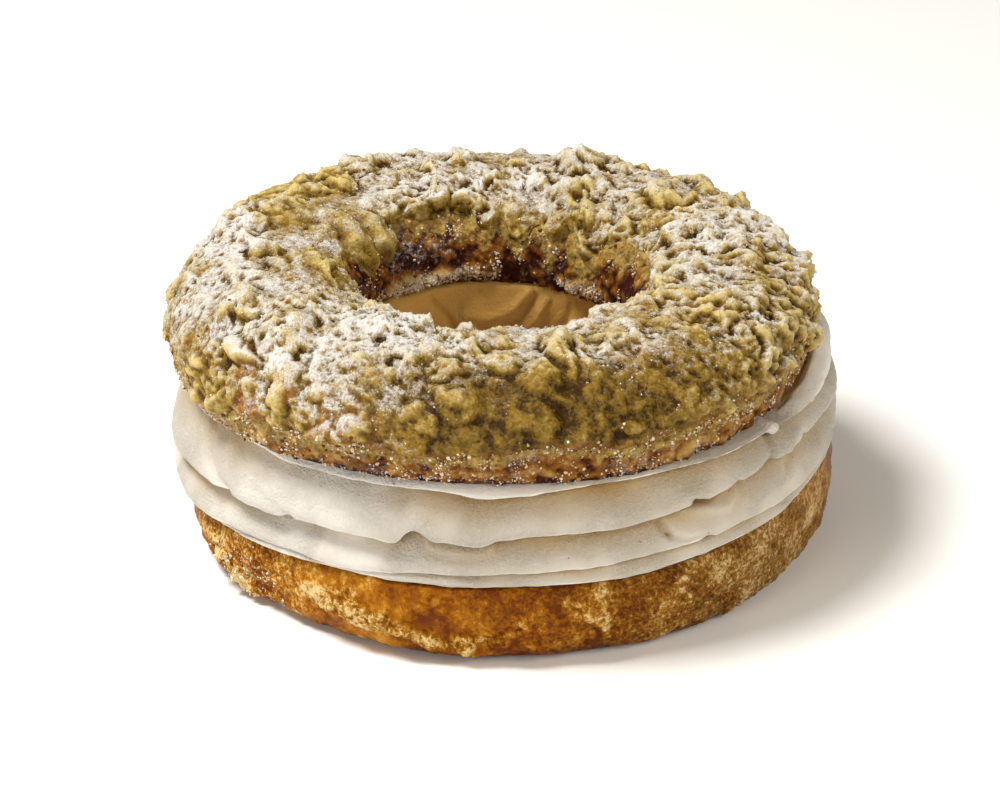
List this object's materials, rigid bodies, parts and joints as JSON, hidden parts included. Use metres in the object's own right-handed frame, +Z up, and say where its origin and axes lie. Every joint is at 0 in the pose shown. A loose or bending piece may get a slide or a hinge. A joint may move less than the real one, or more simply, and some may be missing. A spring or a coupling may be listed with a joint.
{
  "type": "filled doughnut",
  "caption": "Round fried doughnut split flat and filled with a thick band of piped cream, its upper part under a craggy coat of pistachio paste dusted with sugar.",
  "frame": {"origin": "on the surface the doughnut stands on, under the middle of the ring", "axes": "+Z up through the hole, -Y towards the side seen first, +X to that viewer's right"},
  "size_m": [0.1035, 0.1007, 0.0474],
  "materials": {
    "golden_dough": "fried crust, satin with an oily sheen in places",
    "cream": "whipped cream, matt",
    "brown_dough": "dark fried crust with crumbs, matt",
    "pistachio_paste": "craggy paste, satin, dusted with sugar"
  },
  "bodies": {
    "root": {"dough_base": "golden_dough", "cream_filling": "cream", "dough_lid": "brown_dough", "pistachio_coat": "pistachio_paste"}
  },
  "joints": []
}
